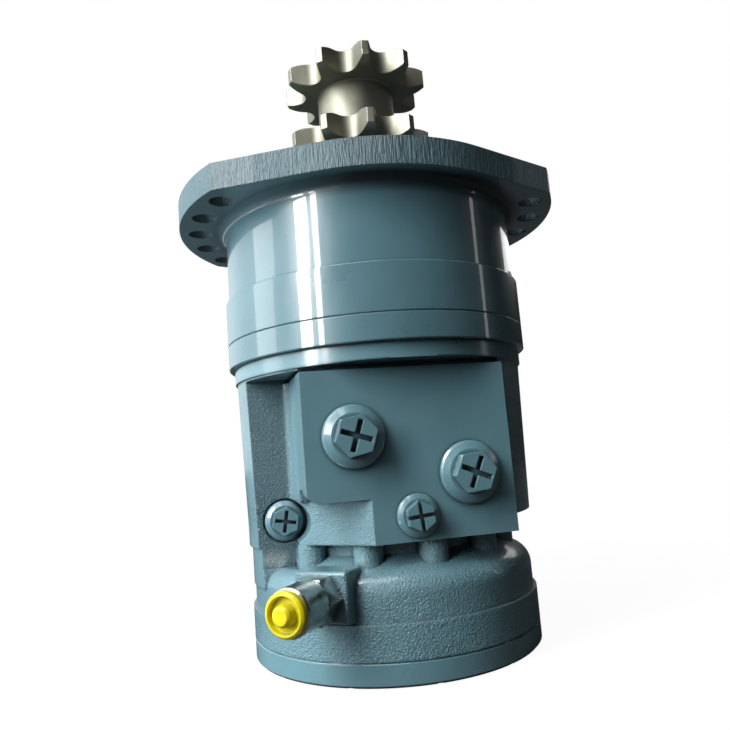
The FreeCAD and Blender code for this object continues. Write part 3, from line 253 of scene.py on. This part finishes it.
# Painted shadow: a dark band in the fillet under the flange, weaker towards the left ear, and
# painted shade deep in the flange's bolt holes.
inboard = housing_paint.math(
    "MULTIPLY", housing_paint.spread(from_axis, 1.0, 0.0, *CORNER_RADIUS),
    housing_paint.math("LESS_THAN", spot[2], CORNER_TOP))
painted_shade = housing_paint.math("MULTIPLY", housing_paint.spread(spot[2], 0.0, 1.0, *CORNER_LEVEL),
                           inboard)
painted_shade = housing_paint.math("MULTIPLY", painted_shade,
                           housing_paint.spread(spot[0], 0.25, 0.95, *CORNER_SIDE))
in_hole = housing_paint.math("MULTIPLY", rim, housing_paint.spread(
    housing_paint.open_air(0.012), 1.0, 0.0, 0.60, 0.90))
painted_shade = housing_paint.math("MAXIMUM", painted_shade, in_hole)
shade_and_rim_tone = housing_paint.math("MAXIMUM", painted_shade, housing_paint.math("MULTIPLY", rim, RIM_SHADE))
dull = housing_paint.math("MAXIMUM", painted_shade, rim)
painted = housing_paint.shader.inputs["Base Color"].links[0].from_socket
# The colour takes the painted shade and the rim's darker tone.
housing_paint.feed(Base_Color=housing_paint.blend(shade_and_rim_tone, painted, SHADE_AND_RIM_DARK),
                   Coat_Weight=housing_paint.spread(dull, 0.9, 0.1, 0.0, 1.0),
                   Roughness=housing_paint.spread(dull, 0.31, 0.46, 0.0, 1.0),
                   Normal=housing_paint.bump(
                       marks, housing_paint.math("MULTIPLY", rim, 0.85), 0.0014, skin))
housing_paint.on("bearing_housing")

# Cam ring and rear ring: turned steel rings, clamped between the housing and the case and
# painted with them, so that only a dark line shows where they meet.
# The dark line where they meet is partly their real joint and partly painted shade from the
# enamel.
ring_paint, skin = enamel("ring_enamel", 0.0010)
ring_paint.feed(Normal=skin)
ring_paint.on("cam_ring", "rear_ring")

# Valve case: one sand-cast iron block with a milled port face and a turned flange. The
# sand's grain shows through the paint everywhere else, and cast edges are well rounded.
PORT_FACE = -0.0945         # the milled face lies in front of this plane
PORT_FACE_FOOT = -0.2565    # and above this height, so that the dome's front stays cast
TURNED_FOOT = -0.1398       # above this height the case is a turned flange
POCKET_FLOOR = -0.0340      # the plane of the cast pocket's floor, which gets painted shade
POCKET_SHADE = 0.42         # and how much of the dark colour that painted shade gives it there
PIT = (0.035, 0.065, 0.08, 1.0)

case_paint = Finish("case_enamel").set(Metallic=0.0, IOR=1.5, Coat_Weight=0.8,
                                       Coat_Roughness=0.16)
spot, facing = case_paint.where()
ahead = case_paint.math("MULTIPLY", case_paint.math("LESS_THAN", spot[1], PORT_FACE),
                        case_paint.math("GREATER_THAN", spot[2], PORT_FACE_FOOT))
milled = case_paint.math("MULTIPLY", ahead, case_paint.math("LESS_THAN", facing[1], -0.99))
turned = case_paint.math("GREATER_THAN", spot[2], TURNED_FOOT)
rough = case_paint.math("SUBTRACT", 1.0, case_paint.math("MAXIMUM", milled, turned))
mottle = case_paint.noise(20.0, 5.0)
grain = case_paint.noise(820.0, 2.0, roughness=0.6)
lumps = case_paint.noise(260.0, 3.0)
pits = case_paint.spread(case_paint.noise(330.0, 2.0), 0.0, 1.0, 0.62, 0.72)
sunk = case_paint.math("MULTIPLY", case_paint.math("MULTIPLY", pits, rough), 0.35)
colour = case_paint.blend(case_paint.spread(mottle, 0.0, 1.0), CAST_PAINT_DARK, CAST_PAINT)
# Painted shade on the floor of the cast pocket beside the port face.
recess = case_paint.math("LESS_THAN", case_paint.math(
    "ABSOLUTE", case_paint.math("SUBTRACT", spot[1], POCKET_FLOOR)), 0.0010)
recess = case_paint.math("MULTIPLY", recess, case_paint.math("LESS_THAN", facing[1], -0.95))
colour = case_paint.blend(case_paint.math("MULTIPLY", recess, POCKET_SHADE), colour, SHADE_AND_RIM_DARK)
round_edges = case_paint.add("Mix", {0: milled, 4: case_paint.soft_edges(0.0022),
                                     5: case_paint.add("NewGeometry").outputs["Normal"]},
                             data_type="VECTOR").outputs[1]
shape = case_paint.bump(lumps, case_paint.math("MULTIPLY", rough, 0.4), 0.0014, round_edges)
colour = case_paint.blend(sunk, colour, PIT)
# Painted shade in the slots and tight corners of the case.
case_paint.feed(Base_Color=case_paint.blend(case_paint.crevices(0.005), SHADE_AND_RIM_DARK, colour),
                Roughness=case_paint.spread(mottle, 0.26, 0.42),
                Normal=case_paint.bump(grain, case_paint.spread(rough, 0.05, 1.0, 0.0, 1.0),
                                       0.0012, shape))
case_paint.on("valve_case")

# End cover: a turned iron plate that closes the brake, painted with the rest.
cover_paint, skin = enamel("cover_enamel", 0.0010, CAST_PAINT_DARK, CAST_PAINT)
cover_grain = cover_paint.noise(500.0, 3.0, roughness=0.65)
cover_paint.feed(Normal=cover_paint.bump(cover_grain, 0.22, 0.0005, skin))
cover_paint.on("end_cover")

# Body bolts and cover bolts: black socket screws, the rear ones painted over with the body.
black_screw = Finish("black_oxide").set(Metallic=0.75)
smudge = black_screw.noise(300.0, 3.0)
black_screw.feed(Base_Color=black_screw.blend(smudge, (0.020, 0.020, 0.022, 1.0),
                                              (0.060, 0.058, 0.055, 1.0)),
                 Roughness=black_screw.spread(smudge, 0.34, 0.55),
                 Normal=black_screw.bump(smudge, 0.1, 0.0003, black_screw.soft_edges(0.0005)))
black_screw.on("body_bolts")
cover_paint.on("cover_bolts")

# Sealing cords: nitrile rubber rings that lie in grooves between the rings of the body.
rubber = Finish("nitrile_rubber").set(IOR=1.5)
bloom = rubber.noise(240.0, 4.0)
rubber.feed(Base_Color=rubber.blend(bloom, (0.010, 0.010, 0.010, 1.0),
                                    (0.035, 0.034, 0.033, 1.0)),
            Roughness=rubber.spread(bloom, 0.42, 0.62), Normal=rubber.bump(bloom, 0.12, 0.0003))
rubber.on("front_cord", "middle_cord", "rear_cord")

# Port plugs, gauge plug and bleed plug: steel plugs with a hexagon and a crossed slot,
# screwed in before the paint went on, so that the coat lies thick in their corners.
# The enamel paints shade into the crossed slots and round the hexagons.
plug_paint, skin = enamel("plug_enamel", 0.0009, CAST_PAINT_DARK, CAST_PAINT)
plug_paint.set(Coat_Roughness=0.10)
thick = plug_paint.noise(520.0, 3.0)
plug_paint.feed(Normal=plug_paint.bump(thick, 0.22, 0.0005, skin))
plug_paint.on("port_plug_a", "port_plug_b", "gauge_plug", "bleed_plug")

# Drain fitting: a plated steel stub with a hexagon, bare, dulled by handling.
plating = Finish("dull_plating").set(Metallic=1.0)
scuffs = plating.noise(160.0, 4.0)
plating.feed(Base_Color=plating.blend(plating.spread(scuffs, 0.0, 1.0),
                                      (0.36, 0.37, 0.35, 1.0), (0.66, 0.67, 0.63, 1.0)),
             Roughness=plating.spread(scuffs, 0.20, 0.27),
             Normal=plating.bump(scuffs, 0.04, 0.0002, plating.soft_edges(0.0007)))
plating.on("drain_fitting")

# Fitting cap: a soft moulded plastic cap that keeps dirt out of the drain fitting.
yellow = Finish("yellow_plastic").set(IOR=1.46, Subsurface_Weight=0.08)
worn = yellow.noise(120.0, 3.0)
yellow.feed(Base_Color=yellow.blend(yellow.spread(worn, 0.0, 1.0), (0.44, 0.375, 0.004, 1.0),
                                    (0.54, 0.48, 0.008, 1.0)),
            Roughness=yellow.spread(worn, 0.34, 0.50),
            Normal=yellow.bump(worn, 0.10, 0.0005, yellow.soft_edges(0.0011)))
yellow.on("fitting_cap")

# Double sprocket: hardened steel for a double chain, bare, milled between the teeth and
# turned on the hub, with a warm tint where the oil has dried.
sprocket_steel = Finish("sprocket_steel").set(Metallic=1.0)
stain = sprocket_steel.noise(34.0, 4.0)
lathe = sprocket_steel.noise(36.0, 2.0, stretch=(0.4, 0.4, 24.0))
bright = sprocket_steel.blend(sprocket_steel.spread(stain, 0.0, 1.0),
                              (0.19, 0.186, 0.150, 1.0), (0.29, 0.285, 0.235, 1.0))
sprocket_steel.feed(Base_Color=bright, Roughness=sprocket_steel.spread(stain, 0.50, 0.62),
                    Normal=sprocket_steel.bump(lathe, 0.10, 0.0004,
                                               sprocket_steel.soft_edges(0.0012)))
sprocket_steel.on("double_sprocket", "sprocket_washer", "sprocket_bolt")


# Output shaft, bearings, pistons, rollers and spool: ground steel, bright and oily.
def bare_metal(name, dark, light, smooth, rough, lines=(1.0, 1.0, 12.0), edge=0.0006):
    metal = Finish(name).set(Metallic=1.0)
    wear = metal.noise(70.0, 4.0, stretch=lines)
    metal.feed(Base_Color=metal.blend(metal.spread(wear, 0.0, 1.0), dark + (1.0,), light + (1.0,)),
               Roughness=metal.spread(wear, smooth, rough),
               Normal=metal.bump(wear, 0.08, 0.0003, metal.soft_edges(edge)))
    return metal


bare_metal("ground_steel", (0.46, 0.46, 0.45), (0.66, 0.66, 0.64), 0.14, 0.28).on(
    "output_shaft", "outer_bearing_cone", "outer_bearing_cup", "outer_bearing_rollers",
    "inner_bearing_cone", "inner_bearing_cup", "inner_bearing_rollers", "speed_spool",
    *("piston_%d" % number for number in range(1, 9)),
    *("cam_roller_%d" % number for number in range(1, 9)))

# Shaft seal: a rubber lip moulded on a steel case, pressed in over the outer bearing.
rubber.on("shaft_seal")

# Bearing nut, brake shaft and brake piston: turned steel, dark from the oil.
bare_metal("turned_steel", (0.22, 0.22, 0.22), (0.42, 0.41, 0.39), 0.26, 0.42).on(
    "bearing_nut", "brake_shaft", "brake_piston")

# Cylinder block and distributor: fine-grained iron, bored and lapped.
bare_metal("lapped_iron", (0.25, 0.25, 0.26), (0.44, 0.44, 0.44), 0.22, 0.36,
           (1.0, 1.0, 1.0)).on("cylinder_block", "distributor")

# Brake: plain steel plates with a blue tint from the heat, discs faced with a brown
# friction lining, and a black cone spring that presses them together.
bare_metal("blued_steel", (0.20, 0.22, 0.27), (0.34, 0.36, 0.40), 0.26, 0.40,
           (1.0, 1.0, 1.0)).on("steel_plates")
lining = Finish("friction_lining").set(IOR=1.45)
fibres = lining.noise(700.0, 4.0, roughness=0.7)
lining.feed(Base_Color=lining.blend(lining.spread(fibres, 0.0, 1.0), (0.085, 0.048, 0.026, 1.0),
                                    (0.20, 0.125, 0.070, 1.0)),
            Roughness=lining.spread(fibres, 0.70, 0.88), Normal=lining.bump(fibres, 0.4, 0.0004))
lining.on("friction_discs")
black_screw.on("brake_spring")
